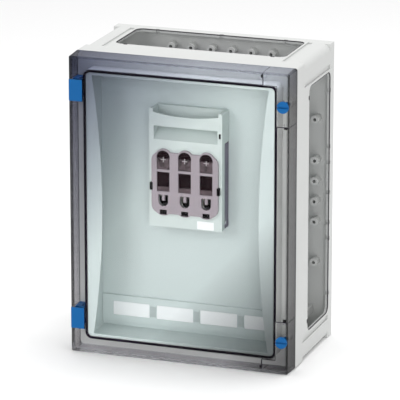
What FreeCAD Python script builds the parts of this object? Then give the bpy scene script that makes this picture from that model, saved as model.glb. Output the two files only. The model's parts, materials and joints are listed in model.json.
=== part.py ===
import FreeCAD, Part
import os
import Sketcher
from FreeCAD import Placement, Rotation, Vector

# A wall box of light grey plastic with a smoky hinged lid. It holds a three-pole
# fuse switch behind a protection cover.
#
# The lid faces -Y, +X is to the right and +Z is up. The origin lies on the surface
# the box stands on, below the middle of the box. Inside this file every place is
# given as x from the middle, depth behind the lid's front face, and z from the
# middle of the height. The last lines of the helpers turn that into the frame.

doc = FreeCAD.newDocument("WallBox")
sheet = doc.addObject("Spreadsheet::Sheet", "Sizes")

sizes = {
    # box
    "boxWidth": 270, "boxHeight": 360, "boxDepth": 163,
    "wall": 4, "rearRound": 10, "rimDepth": 27.4, "rimFloor": 3,
    # collar that the lid closes over
    "collarInset": 17, "collarWall": 3, "collarRound": 8,
    # openings in the four side walls
    "endOpeningInset": 30, "sideOpeningInset": 32, "openingFront": 69.5, "openingRear": 13,
    "openingRound": 9, "sealWide": 0.9, "sealDeep": 1.2, "notchWide": 5, "notchDeep": 2.5,
    "grooveGap": 2.5, "grooveWide": 6, "grooveDeep": 1.8,
    # back wall: feet, screw towers, wall fixings
    "lugSize": 12, "lugDepth": 15, "towerPitch": 25, "towerRadius": 5, "towerHole": 2,
    "towerLong": 16.5, "towerRowInset": 18.5, "towerColumnInset": 18, "towerHoleDeep": 12,
    "postHoleDeep": 14, "fixingInsetX": 45, "fixingInsetZ": 30, "fixingHole": 3.25,
    # lid
    "lidDepth": 24.6, "lidTaper": 2.8, "lidInset": 4, "lidPane": 3, "lidRound": 3,
    "seamGap": 0.3, "gasketWide": 2.3, "gasketThick": 3, "gasketGap": 0.3,
    # lid hinges
    "hingeInset": 2.5, "hingeSetback": 6, "hingePin": 1.25, "hingeInsetZ": 42,
    "hingeTall": 25.5, "hingeWide": 17, "hingeBodyWide": 10, "hingeEdge": 0.6,
    "hingeLap": 1.2, "notchSlack": 0.2, "eyeTall": 12, "eyeSlack": 0.5, "pinSlack": 0.05,
    # lock corners
    "cornerWide": 33.4, "cornerHigh": 64, "jointGap": 0.4,
    "lapInset": 4.4, "lapWide": 4, "lapLong": 3, "lapThick": 2,
    # lid fasteners and their sockets
    "fastenerInsetX": 8.7, "fastenerInsetZ": 40, "knobRadius": 7, "knobProud": 3,
    "knobGap": 0.2, "shankRadius": 3, "shankEnd": 12, "tailRadius": 2.2, "tailSlack": 0.7,
    "tailGap": 2,
    "slotWide": 1.8, "slotDeep": 2, "ringWide": 1.5, "ringThick": 1.2,
    "socketWall": 1.4, "socketLong": 10,
    # screws
    "screwHead": 4, "screwLong": 12, "headThick": 2, "driveWide": 1, "driveDeep": 0.8,
    "seatRadius": 4.2, "holeSlack": 0.1, "rearHeadLip": 1.8, "rearHeadThick": 2.5,
    # protection cover, its frame and its posts
    "coverDepth": 50, "coverThick": 3, "coverSlack": 0.3, "frameFront": 5,
    "frameWall": 1.7, "frameLip": 2, "lipInset": 3.2, "cheekEnd": 7.2, "cheekMiddle": 18.9,
    "postInsetX": 27, "postInsetZ": 31, "postSize": 11, "plateGap": 0.4,
    # label strip and its cards
    "stripInsetZ": 27, "stripHigh": 33, "stripThick": 2, "bandHigh": 8, "bandProud": 1,
    "bayDeep": 0.8, "cardWide": 45.5, "cardHigh": 16.6, "cardPitch": 54.6, "cardShift": 5.3,
    "cardInset": 8, "cardThick": 0.5, "cardSlack": 0.2,
    # mounting plate
    "plateInsetX": 35, "plateInsetZ": 45, "plateThick": 2, "plateRear": 22, "plateRound": 4,
    "pillarInset": 10, "pillarRadius": 5,
    # earth and neutral bars
    "barLong": 150, "barThick": 9, "barInset": 43, "barPitch": 24, "barEnd": 8,
    "entryPitch": 13, "entryRadius": 2.6, "clampRadius": 1.75, "clampLong": 3,
    "clampHead": 2.6, "endRadius": 1.8, "endHead": 3.2, "holderWide": 12, "holderHigh": 14,
    "holderDeep": 12,
    # switch housing
    "housingWall": 2.5, "housingInset": 1.2, "spacerLong": 15, "housingFloor": 77,
    "housingTop": 124, "housingLow": -52, "neckDrop": 2.5, "neckGap": 1.5, "rearStep": 1,
    "shoulderGap": 3, "noseWall": 2, "roomWall": 3, "poleWall": 2, "earRoom": 6,
    "bossRadius": 5, "spacerInset": 8, "spacerScrew": 20, "polePitch": 26.3,
    "pivotDepth": 42, "pivotZ": -15, "pivotPin": 2.5, "pivotGap": 0.5,
    # fuse links and their contacts
    "fuseGap": 5.3, "fuseFront": 38, "fuseBack": 72, "fuseLow": 9, "fuseHigh": 57,
    "fuseRound": 2.5, "capThick": 2, "capInset": 0.5, "bladeThick": 6, "bladeFront": 55,
    "bladeBack": 70, "bladeLong": 14, "jawGap": 0.3, "jawThick": 2, "jawLong": 11.5,
    "upperJawGap": 5.5, "lowerJawGap": 3, "contactThick": 3, "contactWide": 16,
    "stripInset": 12, "boltRadius": 4, "boltHead": 6.5, "boltThick": 5, "boltLong": 12,
    "boltGap": 0.8, "upperBolt": 21, "lowerBolt": 14,
    # fuse carrier
    "carrierWide": 89.4, "carrierTop": 118.5, "carrierLow": -23, "carrierFront": 25,
    "carrierThick": 9, "carrierWall": 3, "carrierRound": 2, "hollowRound": 1.5,
    "headLow": 80, "headBack": 49, "ribLonger": 4, "earRadius": 5.5, "earThick": 3.5,
    "earGap": 1.2, "restWide": 18, "restHigh": 5, "lowRestZ": 19.5, "highRestZ": 48,
    # its grip, finger pocket and lock slot
    "scoopWide": 80, "scoopLow": 102, "scoopWall": 5, "lipThick": 3.5, "sagRadius": 205,
    "sagDeep": 8.5, "pocketWide": 78, "pocketDeep": 15, "pocketLow": 81, "pocketKnee": 93,
    "pocketTop": 98, "lockSlotX": 40.5, "lockSlotZ": 88.5, "lockSlotWide": 2.5,
    "lockSlotHigh": 6,
    # its window panel; the crowns and feet are round bulges of the panel's edge
    "windowProud": 3.5, "windowWide": 81.4, "windowTop": 67.5, "windowLow": -5.9,
    "windowRound": 10, "crownRadius": 10, "footRadius": 12, "footZ": 3.6, "holeMore": 0.6,
    "lensRim": 0.5,
    "archWide": 15.8, "archRadius": 8.2, "archLow": 47, "archZ": 61.5,
    "squareWide": 15.6, "squareLow": 20.6, "squareHigh": 44,
    "testRadius": 6, "testZ": 8.6, "testTop": 16.6, "tongueWide": 3.2, "tongueLow": 9.4,
    "plugWide": 8.8, "plugLow": -7.2, "plugHigh": -1.4, "lensSink": 1.2, "lensGap": 0.1,
    "clipX": 39.4, "clipWide": 3.4, "clipLow": 21.5, "clipHigh": 30.5, "clipProud": 0.8,
    "ratingX": 14.2, "ratingZ": -21.9, "ratingWide": 20.7, "ratingHigh": 9.7,
    "ratingThick": 0.4,
}

# places and lengths that follow other sizes
derived = {
    "endOpening": "boxWidth - 2 * endOpeningInset",
    "sideOpening": "boxHeight - 2 * sideOpeningInset",
    "openingBack": "boxDepth - openingRear",
    "towerTip": "boxDepth - towerLong",
    "fixingX": "boxWidth / 2 - fixingInsetX",
    "fixingZ": "boxHeight / 2 - fixingInsetZ",
    "hingeZ": "boxHeight / 2 - hingeInsetZ",
    "cornerFromX": "boxWidth / 2 - cornerWide",
    "cornerFromZ": "boxHeight / 2 - cornerHigh",
    "fastenerX": "boxWidth / 2 - fastenerInsetX",
    "fastenerZ": "boxHeight / 2 - fastenerInsetZ",
    "tailEnd": "lidDepth - tailGap",
    "postX": "boxWidth / 2 - postInsetX",
    "postZ": "boxHeight / 2 - postInsetZ",
    "stripLow": "stripInsetZ - boxHeight / 2",
    "cardLow": "stripLow + cardInset",
    "plateWide": "boxWidth - 2 * plateInsetX",
    "plateHigh": "boxHeight - 2 * plateInsetZ",
    "plateDepth": "boxDepth - plateRear",
    "pillarX": "plateWide / 2 - pillarInset",
    "pillarZ": "plateHigh / 2 - pillarInset",
    "barZ": "barInset - plateHigh / 2",
    "housingBack": "plateDepth - spacerLong",
    "fuseWide": "polePitch - fuseGap",
}

for row, (alias, number) in enumerate(sizes.items(), start=1):
    sheet.set(f"A{row}", alias)
    sheet.set(f"B{row}", str(number))
    sheet.setAlias(f"B{row}", alias)
doc.recompute()

sub_parts = []                 # every finished piece, in the order it is made


def full(expression):
    """Writes the names in an expression as cells of the sheet."""
    words = []
    word = ""
    for letter in str(expression) + " ":
        if letter.isalnum() or letter == "_":
            word += letter
        else:
            if word in derived:
                words.append(f"({full(derived[word])})")
            else:
                words.append(f"Sizes.{word}" if word in sizes else word)
            words.append(letter)
            word = ""
    return "".join(words).strip()


HALF_X = "boxWidth / 2"
HALF_Z = "boxHeight / 2"
MID_Y = "(boxDepth - knobProud) / 2"
COLLAR_X = f"({HALF_X} - collarInset)"
COLLAR_Z = f"({HALF_Z} - collarInset)"
COLLAR_FRONT = "(lidPane + gasketThick + gasketGap)"
SEAM = "(lidDepth + seamGap)"
RIM_BACK = "(lidDepth + rimDepth)"


def bind(thing, path, expression):
    thing.setExpression(path, full(expression))


def value(thing, expression):
    return float(thing.evalExpression(full(expression)))


def finish(thing, label):
    thing.Label = label
    sub_parts.append(thing)
    return thing


# --- sketches and PartDesign features ---------------------------------------

PLANES = {
    # role: shift of the sketch along its own X, along its own Y, sign of its normal,
    # and where the middle of the frame lies along that normal
    "XZ_Plane": ("0", HALF_Z, -1, MID_Y),
    "YZ_Plane": (f"-{MID_Y}", HALF_Z, 1, "0"),
    "XY_Plane": ("0", f"-{MID_Y}", 1, HALF_Z),
}


def new_body(name):
    return doc.addObject("PartDesign::Body", name)


def new_sketch(body, name, role, place):
    """A sketch square to one axis: place is its depth, x or z, by the plane's role."""
    plane = [part for part in body.Origin.OriginFeatures if part.Role == role][0]
    across, up, sign, middle = PLANES[role]
    sketch = body.newObject("Sketcher::SketchObject", name)
    sketch.AttachmentSupport = [(plane, "")]
    sketch.MapMode = "FlatFace"
    bind(sketch, "AttachmentOffset.Base.x", across)
    bind(sketch, "AttachmentOffset.Base.y", up)
    if sign < 0:
        bind(sketch, "AttachmentOffset.Base.z", f"{middle} - ({place})")
    else:
        bind(sketch, "AttachmentOffset.Base.z", f"{middle} + ({place})")
    return sketch


def measure(sketch, kind, places, expression):
    """Adds a dimension that follows the sheet."""
    number = value(sketch, expression)
    index = sketch.addConstraint(Sketcher.Constraint(kind, *places, number))
    name = f"{kind}{index}"
    sketch.renameConstraint(index, name)
    bind(sketch, f"Constraints.{name}", expression)


def outline(sketch, left, right, low, high, radius=None):
    """A rectangle between four sides, with round corners if a radius is given."""
    x0, x1 = value(sketch, left), value(sketch, right)
    y0, y1 = value(sketch, low), value(sketch, high)
    r = value(sketch, radius) if radius else 0
    ends = [
        (x0 + r, y0, x1 - r, y0), (x1, y0 + r, x1, y1 - r),
        (x1 - r, y1, x0 + r, y1), (x0, y1 - r, x0, y0 + r),
    ]
    lines = [sketch.addGeometry(Part.LineSegment(Vector(a, b, 0), Vector(c, d, 0)))
             for a, b, c, d in ends]
    for side in (0, 2):
        sketch.addConstraint(Sketcher.Constraint("Horizontal", lines[side]))
        sketch.addConstraint(Sketcher.Constraint("Vertical", lines[side + 1]))
    if radius:
        centres = [(x1 - r, y0 + r), (x1 - r, y1 - r), (x0 + r, y1 - r), (x0 + r, y0 + r)]
        arcs = []
        for quarter, (cx, cy) in enumerate(centres):
            circle = Part.Circle(Vector(cx, cy, 0), Vector(0, 0, 1), r)
            start = (quarter - 1) * 1.5707963267948966
            arc = Part.ArcOfCircle(circle, start, start + 1.5707963267948966)
            arcs.append(sketch.addGeometry(arc))
        for side in range(4):
            after = lines[(side + 1) % 4]
            sketch.addConstraint(Sketcher.Constraint("Tangent", lines[side], 2, arcs[side], 1))
            sketch.addConstraint(Sketcher.Constraint("Tangent", arcs[side], 2, after, 1))
        for arc in arcs[1:]:
            sketch.addConstraint(Sketcher.Constraint("Equal", arcs[0], arc))
        measure(sketch, "Radius", (arcs[0],), radius)
    else:
        for side in range(4):
            after = lines[(side + 1) % 4]
            sketch.addConstraint(Sketcher.Constraint("Coincident", lines[side], 2, after, 1))
    measure(sketch, "DistanceX", (-1, 1, lines[3], 1), left)
    measure(sketch, "DistanceX", (-1, 1, lines[1], 1), right)
    measure(sketch, "DistanceY", (-1, 1, lines[0], 1), low)
    measure(sketch, "DistanceY", (-1, 1, lines[2], 1), high)


def centred(sketch, half_width, half_height, radius=None):
    outline(sketch, f"-({half_width})", half_width, f"-({half_height})", half_height, radius)


def ring(sketch, radius, x, y):
    """A full circle."""
    centre = Vector(value(sketch, x), value(sketch, y), 0)
    circle = sketch.addGeometry(Part.Circle(centre, Vector(0, 0, 1), value(sketch, radius)))
    measure(sketch, "Radius", (circle,), radius)
    measure(sketch, "DistanceX", (-1, 1, circle, 3), x)
    measure(sketch, "DistanceY", (-1, 1, circle, 3), y)


def pad(body, sketch, length, backwards=True, taper=None):
    """Material from the sketch; backwards is away from the lid, or down, or left."""
    feature = body.newObject("PartDesign::Pad", sketch.Name + "Pad")
    feature.Profile = sketch
    bind(feature, "Length", length)
    feature.Reversed = backwards
    if taper:
        bind(feature, "TaperAngle", taper)
    return feature


def pocket(body, sketch, length, backwards=True, taper=None, both_ways=False):
    """A cut from the sketch. The volume has to go down, or the cut missed the piece."""
    doc.recompute()
    before = body.Shape.Volume
    feature = body.newObject("PartDesign::Pocket", sketch.Name + "Pocket")
    feature.Profile = sketch
    bind(feature, "Length", length)
    feature.Reversed = not backwards
    if both_ways:
        feature.SideType = "Symmetric"
    if taper:
        bind(feature, "TaperAngle", taper)
    doc.recompute()
    if body.Shape.Volume >= before:
        raise RuntimeError(f"{feature.Name} cuts nothing")
    return feature


# --- Part primitives and booleans --------------------------------------------

def block(name, x0, x1, d0, d1, z0, z1):
    """A box between two x, two depths and two z."""
    solid = doc.addObject("Part::Box", name)
    bind(solid, "Length", f"({x1}) - ({x0})")
    bind(solid, "Width", f"({d1}) - ({d0})")
    bind(solid, "Height", f"({z1}) - ({z0})")
    bind(solid, "Placement.Base.x", x0)
    bind(solid, "Placement.Base.y", f"({d0}) - {MID_Y}")
    bind(solid, "Placement.Base.z", f"({z0}) + {HALF_Z}")
    return solid


TURNS = {"x": Rotation(Vector(0, 1, 0), 90), "y": Rotation(Vector(1, 0, 0), -90),
         "z": Rotation()}


def rod(name, along, radius, x, d, z, length):
    """A cylinder that starts at x, d, z and runs along +X, backwards or up."""
    solid = doc.addObject("Part::Cylinder", name)
    solid.Placement = Placement(Vector(), TURNS[along])
    bind(solid, "Radius", radius)
    bind(solid, "Height", length)
    bind(solid, "Placement.Base.x", x)
    bind(solid, "Placement.Base.y", f"({d}) - {MID_Y}")
    bind(solid, "Placement.Base.z", f"({z}) + {HALF_Z}")
    return solid


def fuse(name, pieces):
    joined = doc.addObject("Part::MultiFuse", name)
    joined.Shapes = pieces
    joined.Refine = True
    return joined


def cut(name, base, tools):
    result = doc.addObject("Part::Cut", name)
    result.Base = base
    result.Tool = tools[0] if len(tools) == 1 else fuse(name + "Tools", tools)
    result.Refine = True
    return result


def common(name, first, second):
    result = doc.addObject("Part::Common", name)
    result.Base = first
    result.Tool = second
    result.Refine = True
    return result


def group(name, pieces):
    """Separate solids that share one node."""
    compound = doc.addObject("Part::Compound", name)
    compound.Links = pieces
    return compound


# --- base --------------------------------------------------------------------

def make_base():
    base = new_body("BaseBody")
    inner_x, inner_z = f"{HALF_X} - wall", f"{HALF_Z} - wall"
    inner_round = "rearRound - wall"

    rear = new_sketch(base, "BackWall", "XZ_Plane", "boxDepth - wall")
    centred(rear, HALF_X, HALF_Z, "rearRound")
    pad(base, rear, "wall")

    walls = new_sketch(base, "SideWalls", "XZ_Plane", RIM_BACK)
    centred(walls, HALF_X, HALF_Z, "rearRound")
    centred(walls, inner_x, inner_z, inner_round)
    pad(base, walls, f"boxDepth - wall - {RIM_BACK}")

    skirt = new_sketch(base, "FrontRim", "XZ_Plane", SEAM)
    centred(skirt, HALF_X, HALF_Z, "lidRound")
    centred(skirt, inner_x, inner_z, inner_round)
    pad(base, skirt, f"{RIM_BACK} - {SEAM}")

    floor = new_sketch(base, "RimFloor", "XZ_Plane", SEAM)
    centred(floor, HALF_X, HALF_Z, "lidRound")
    centred(floor, f"{COLLAR_X} - collarWall", f"{COLLAR_Z} - collarWall",
            "collarRound - collarWall")
    pad(base, floor, "rimFloor")

    collar = new_sketch(base, "Collar", "XZ_Plane", COLLAR_FRONT)
    centred(collar, COLLAR_X, COLLAR_Z, "collarRound")
    centred(collar, f"{COLLAR_X} - collarWall", f"{COLLAR_Z} - collarWall",
            "collarRound - collarWall")
    pad(base, collar, f"{SEAM} - {COLLAR_FRONT}")

    lugs = new_sketch(base, "CornerLugs", "XZ_Plane", "boxDepth - lugDepth")
    for left, right in ((f"-{HALF_X}", f"lugSize - {HALF_X}"), (f"{HALF_X} - lugSize", HALF_X)):
        outline(lugs, left, right, f"-{HALF_Z}", f"lugSize - {HALF_Z}")
        outline(lugs, left, right, f"{HALF_Z} - lugSize", HALF_Z)
    pad(base, lugs, "lugDepth")

    clear_inside = new_sketch(base, "ClearInside", "XZ_Plane", RIM_BACK)
    centred(clear_inside, inner_x, inner_z, inner_round)
    pocket(base, clear_inside, f"boxDepth - wall - {RIM_BACK}")

    cut_openings(base)
    add_inner_supports(base)
    return add_rim_fittings(base)


def cut_openings(base):
    """Four wide openings, their clip notches and the grooves beside them."""
    ends = new_sketch(base, "EndOpenings", "XY_Plane", "0")
    outline(ends, "-endOpening / 2", "endOpening / 2", "openingFront", "openingBack",
            "openingRound")
    pocket(base, ends, "boxHeight + 2", both_ways=True)

    sides = new_sketch(base, "SideOpenings", "YZ_Plane", "0")
    outline(sides, "openingFront", "openingBack", "-sideOpening / 2", "sideOpening / 2",
            "openingRound")
    pocket(base, sides, "boxWidth + 2", both_ways=True)

    end_notches = new_sketch(base, "EndNotches", "XY_Plane", "0")
    for place in ("-0.76", "0", "0.76"):
        middle = f"{place} * endOpening / 2"
        outline(end_notches, f"{middle} - notchWide / 2", f"{middle} + notchWide / 2",
                "openingBack - 1", "openingBack + notchDeep")
    for place in ("-0.86", "0.86"):
        middle = f"{place} * endOpening / 2"
        outline(end_notches, f"{middle} - notchWide / 2", f"{middle} + notchWide / 2",
                "openingFront - notchDeep", "openingFront + 1")
    pocket(base, end_notches, "boxHeight + 2", both_ways=True)

    side_notches = new_sketch(base, "SideNotches", "YZ_Plane", "0")
    for place in ("-0.84", "-0.38", "-0.25", "0", "0.25", "0.38", "0.84"):
        middle = f"{place} * sideOpening / 2"
        outline(side_notches, "openingBack - 1", "openingBack + notchDeep",
                f"{middle} - notchWide / 2", f"{middle} + notchWide / 2")
    for place in ("-0.91", "0.91"):
        middle = f"{place} * sideOpening / 2"
        outline(side_notches, "openingFront - notchDeep", "openingFront + 1",
                f"{middle} - notchWide / 2", f"{middle} + notchWide / 2")
    pocket(base, side_notches, "boxWidth + 2", both_ways=True)

    groove_x0, groove_x1 = "endOpening / 2 + grooveGap", "endOpening / 2 + grooveGap + grooveWide"
    groove_z0, groove_z1 = "sideOpening / 2 + grooveGap", "sideOpening / 2 + grooveGap + grooveWide"
    groove_end = "boxDepth - lugDepth"
    for side, name in ((1, "Top"), (-1, "Bottom")):
        grooves = new_sketch(base, f"{name}Grooves", "XY_Plane", f"{side} * {HALF_Z}")
        outline(grooves, groove_x0, groove_x1, RIM_BACK, groove_end)
        outline(grooves, f"-({groove_x1})", f"-({groove_x0})", RIM_BACK, groove_end)
        pocket(base, grooves, "grooveDeep", backwards=side > 0)
    for side, name in ((1, "Right"), (-1, "Left")):
        grooves = new_sketch(base, f"{name}Grooves", "YZ_Plane", f"{side} * {HALF_X}")
        outline(grooves, RIM_BACK, groove_end, groove_z0, groove_z1)
        outline(grooves, RIM_BACK, groove_end, f"-({groove_z1})", f"-({groove_z0})")
        pocket(base, grooves, "grooveDeep", backwards=side > 0)


def tower_places():
    """Screw towers: a row along the top and bottom, a column along each side."""
    row_z = f"{HALF_Z} - towerRowInset"
    column_x = f"{HALF_X} - towerColumnInset"
    places = []
    for side in ("", "-"):
        for steps in ("0.5", "1.5", "2.5"):
            for hand in ("", "-"):
                places.append((f"{hand}{steps} * towerPitch", f"{side}({row_z})"))
        for steps in ("0.5", "1.5", "3.5"):
            for hand in ("", "-"):
                places.append((f"{side}({column_x})", f"{hand}{steps} * towerPitch"))
    return places


def add_inner_supports(base):
    """Towers, pillars for the mounting plate, and posts for the protection cover."""
    inside_back = "boxDepth - wall"
    towers = new_sketch(base, "Towers", "XZ_Plane", "towerTip")
    pillars = new_sketch(base, "Pillars", "XZ_Plane", "plateDepth + plateThick")
    posts = new_sketch(base, "CoverPosts", "XZ_Plane", "coverDepth + coverThick")
    screw_holes = new_sketch(base, "TowerHoles", "XZ_Plane", "towerTip")
    pillar_holes = new_sketch(base, "PillarHoles", "XZ_Plane", "plateDepth + plateThick")
    post_holes = new_sketch(base, "PostHoles", "XZ_Plane", "coverDepth + coverThick")
    fixings = new_sketch(base, "WallFixings", "XZ_Plane", inside_back)
    for x, z in tower_places():
        ring(towers, "towerRadius", x, z)
        ring(screw_holes, "towerHole", x, z)
    for hand in ("", "-"):
        for side in ("", "-"):
            ring(pillars, "pillarRadius", f"{hand}pillarX", f"{side}pillarZ")
            ring(pillar_holes, "towerHole", f"{hand}pillarX", f"{side}pillarZ")
            outline(posts, f"{hand}postX - postSize / 2", f"{hand}postX + postSize / 2",
                    f"{side}postZ - postSize / 2", f"{side}postZ + postSize / 2")
            ring(post_holes, "towerHole", f"{hand}postX", f"{side}postZ")
            ring(fixings, "fixingHole", f"{hand}fixingX", f"{side}fixingZ")
    pad(base, towers, f"{inside_back} - towerTip")
    pad(base, pillars, f"{inside_back} - plateDepth - plateThick")
    pad(base, posts, f"{inside_back} - coverDepth - coverThick")
    pocket(base, screw_holes, "towerHoleDeep")
    pocket(base, pillar_holes, "postHoleDeep")
    pocket(base, post_holes, "postHoleDeep")
    pocket(base, fixings, "wall")


def add_rim_fittings(base):
    """Hinge eyes on the left of the rim and sockets for the lid fasteners."""
    eye_x = f"hingeInset - {HALF_X}"
    axis_depth = "lidDepth - hingeSetback"
    bore = "tailRadius + tailSlack"
    pieces = [base]
    holes = []
    for side, word in (("", "Upper"), ("-", "Lower")):
        middle = f"{side}hingeZ"
        low, high = f"{middle} - eyeTall / 2", f"{middle} + eyeTall / 2"
        pieces.append(rod(f"{word}Eye", "z", "hingeInset", eye_x, axis_depth, low, "eyeTall"))
        pieces.append(block(f"{word}EyeStem", f"-{HALF_X}", f"2 * hingeInset - {HALF_X}",
                            axis_depth, SEAM, low, high))
        holes.append(rod(f"{word}EyeHole", "z", "hingePin", eye_x, axis_depth,
                         f"{low} - 1", "eyeTall + 2"))
        pieces.append(rod(f"{word}Socket", "y", f"{bore} + socketWall", "fastenerX",
                          "lidDepth - socketLong", f"{side}fastenerZ",
                          "socketLong + seamGap + 1"))
        holes.append(rod(f"{word}SocketHole", "y", bore, "fastenerX",
                         "lidDepth - socketLong - 1", f"{side}fastenerZ",
                         "socketLong + seamGap + 1"))
    shell = cut("BaseWithFittings", fuse("BaseAndFittings", pieces), holes)
    return finish(shell, "base_shell")


def make_opening_seals():
    """Black rubber edging, a thin ring flush with the outside of each wall opening."""
    for side, word in ((1, "top"), (-1, "bottom")):
        place = f"{HALF_Z} - sealDeep" if side > 0 else f"-{HALF_Z}"
        seal = new_body(f"{word}_opening_seal")
        edge = new_sketch(seal, f"{word.title()}Seal", "XY_Plane", place)
        outline(edge, "-endOpening / 2", "endOpening / 2", "openingFront", "openingBack",
                "openingRound")
        outline(edge, "sealWide - endOpening / 2", "endOpening / 2 - sealWide",
                "openingFront + sealWide", "openingBack - sealWide",
                "openingRound - sealWide")
        pad(seal, edge, "sealDeep", backwards=False)
        finish(seal, f"{word}_opening_seal")
    for side, word in ((1, "right"), (-1, "left")):
        place = f"{HALF_X} - sealDeep" if side > 0 else f"-{HALF_X}"
        seal = new_body(f"{word}_opening_seal")
        edge = new_sketch(seal, f"{word.title()}Seal", "YZ_Plane", place)
        outline(edge, "openingFront", "openingBack", "-sideOpening / 2", "sideOpening / 2",
                "openingRound")
        outline(edge, "openingFront + sealWide", "openingBack - sealWide",
                "sealWide - sideOpening / 2", "sideOpening / 2 - sealWide",
                "openingRound - sealWide")
        pad(seal, edge, "sealDeep", backwards=False)
        finish(seal, f"{word}_opening_seal")


# --- lid ---------------------------------------------------------------------

def make_lid():
    """The lid's tray is made whole, then parted into the lid and its lock corners."""
    tray = new_body("LidTray")
    outer = new_sketch(tray, "LidOutside", "XZ_Plane", "lidDepth")
    centred(outer, HALF_X, HALF_Z, "lidRound")
    pad(tray, outer, "lidDepth", backwards=False, taper="-lidTaper")
    inner = new_sketch(tray, "LidInside", "XZ_Plane", "lidPane")
    centred(inner, f"{HALF_X} - lidInset", f"{HALF_Z} - lidInset", "lidRound")
    pocket(tray, inner, "lidDepth - lidPane", taper="lidTaper")

    removed = []
    for side, word in (("", "Upper"), ("-", "Lower")):
        removed += corner_region(f"{word}Gap", side, "0")
        middle = f"{side}hingeZ"
        removed.append(block(f"{word}HingeNotch", f"-{HALF_X} - 1",
                             f"hingeWide - {HALF_X} + notchSlack", "-1", "lidDepth + 1",
                             f"{middle} - hingeTall / 2 - notchSlack",
                             f"{middle} + hingeTall / 2 + notchSlack"))
        make_lock_corner(tray, side, word)
    removed.append(rear_edge_relief("Lid", f"-{HALF_Z} - 1", f"{HALF_Z} + 1"))
    finish(cut("LidParted", tray, removed), "lid")

    gasket = new_body("lid_gasket")
    path = new_sketch(gasket, "Gasket", "XZ_Plane", "lidPane")
    middle_x, middle_z = f"{COLLAR_X} - collarWall / 2", f"{COLLAR_Z} - collarWall / 2"
    centred(path, f"{middle_x} + gasketWide / 2", f"{middle_z} + gasketWide / 2",
            "collarRound")
    centred(path, f"{middle_x} - gasketWide / 2", f"{middle_z} - gasketWide / 2",
            "collarRound - gasketWide")
    pad(gasket, path, "gasketThick")
    finish(gasket, "lid_gasket")


def rear_edge_relief(name, low, high):
    """What is cut from a lid piece behind the hinge axis, to leave it round."""
    axis_x = f"hingeInset - {HALF_X}"
    corner = block(f"{name}ReliefBlock", f"-{HALF_X} - 2", axis_x, "lidDepth - hingeSetback",
                   "lidDepth + 1", low, high)
    kept = rod(f"{name}ReliefRound", "z", "hingeSetback", axis_x, "lidDepth - hingeSetback",
               low, f"({high}) - ({low})")
    return cut(f"{name}Relief", corner, [kept])


def mirrored(side, low, high):
    """A range of z above the middle, or the same range below it."""
    return (f"-({high})", f"-({low})") if side else (low, high)


def corner_region(name, side, shrink):
    """The angled region of the lid outside the gasket, at the upper or lower right."""
    right, outside = f"{HALF_X} + 1", f"{HALF_Z} + 1"
    bar = block(name + "Bar", f"cornerFromX + {shrink}", right, "-1", "lidDepth + 1",
                *mirrored(side, f"{COLLAR_Z} + {shrink}", outside))
    leg = block(name + "Leg", f"{COLLAR_X} + {shrink}", right, "-1", "lidDepth + 1",
                *mirrored(side, f"cornerFromZ + {shrink}", outside))
    return [bar, leg]


def make_lock_corner(tray, side, word):
    """A corner of the lid, held by two laps under the lid's pane, with a bore."""
    region = fuse(f"{word}CornerRegion", corner_region(f"{word}Corner", side, "jointGap"))
    shell = common(f"{word}CornerShell", tray, region)
    lap_back = "lidPane + lapThick"
    side_lap = block(f"{word}SideLap", f"{HALF_X} - lapInset - lapWide",
                     f"{HALF_X} - lapInset", "lidPane", lap_back,
                     *mirrored(side, "cornerFromZ - lapLong", "cornerFromZ + lapLong + jointGap"))
    end_lap = block(f"{word}EndLap", "cornerFromX - lapLong", "cornerFromX + lapLong + jointGap",
                    "lidPane", lap_back,
                    *mirrored(side, f"{HALF_Z} - lapInset - lapWide", f"{HALF_Z} - lapInset"))
    whole = fuse(f"{word}CornerWhole", [shell, side_lap, end_lap])
    bore = rod(f"{word}CornerBore", "y", "shankRadius + pinSlack", "fastenerX", "-1",
               f"{side}fastenerZ", "lidPane + 2")
    finish(cut(f"{word}CornerCut", whole, [bore]), f"{word.lower()}_lock_corner")


def make_hinge(side, word):
    """A blue hinge block that fills the lid's notch, and its pin in the rim's eye."""
    middle = f"{side}hingeZ"
    low, high = f"{middle} - hingeTall / 2", f"{middle} + hingeTall / 2"
    axis_x, axis_depth = f"hingeInset - {HALF_X}", "lidDepth - hingeSetback"
    face = block(f"{word}HingeFace", f"hingeEdge - {HALF_X}", f"hingeWide - {HALF_X}", "0",
                 "lidPane", low, high)
    body = block(f"{word}HingeBody", f"-{HALF_X}", f"hingeBodyWide - {HALF_X}", "lidPane",
                 "lidDepth", low, high)
    lap = block(f"{word}HingeLap", f"hingeBodyWide / 2 - {HALF_X}",
                f"hingeWide - hingeEdge - {HALF_X}", "lidPane", "lidPane + lapThick",
                f"{low} - hingeLap", f"{high} + hingeLap")
    eye_low, eye_high = f"{middle} - eyeTall / 2 - eyeSlack", f"{middle} + eyeTall / 2 + eyeSlack"
    room = rod(f"{word}HingeRoom", "z", "hingeSetback + 1", axis_x, axis_depth, eye_low,
               "eyeTall + 2 * eyeSlack")
    behind = block(f"{word}HingeBehind", f"-{HALF_X} - 1", f"hingeBodyWide + 2 - {HALF_X}",
                   axis_depth, "lidDepth + 1", eye_low, eye_high)
    bore = rod(f"{word}HingeBore", "z", "hingePin + pinSlack", axis_x, axis_depth,
               f"{low} - 1", "hingeTall + 2")
    relief = rear_edge_relief(f"{word}Hinge", f"{low} - 1", f"{high} + 1")
    shape = cut(f"{word}HingeCut", fuse(f"{word}HingeSolid", [face, body, lap]),
                [room, behind, bore, relief])
    finish(shape, f"{word.lower()}_hinge_block")
    pin = rod(f"{word}HingePin", "z", "hingePin", axis_x, axis_depth, f"{low} + eyeSlack",
              "hingeTall - 2 * eyeSlack")
    finish(pin, f"{word.lower()}_hinge_pin")


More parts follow.
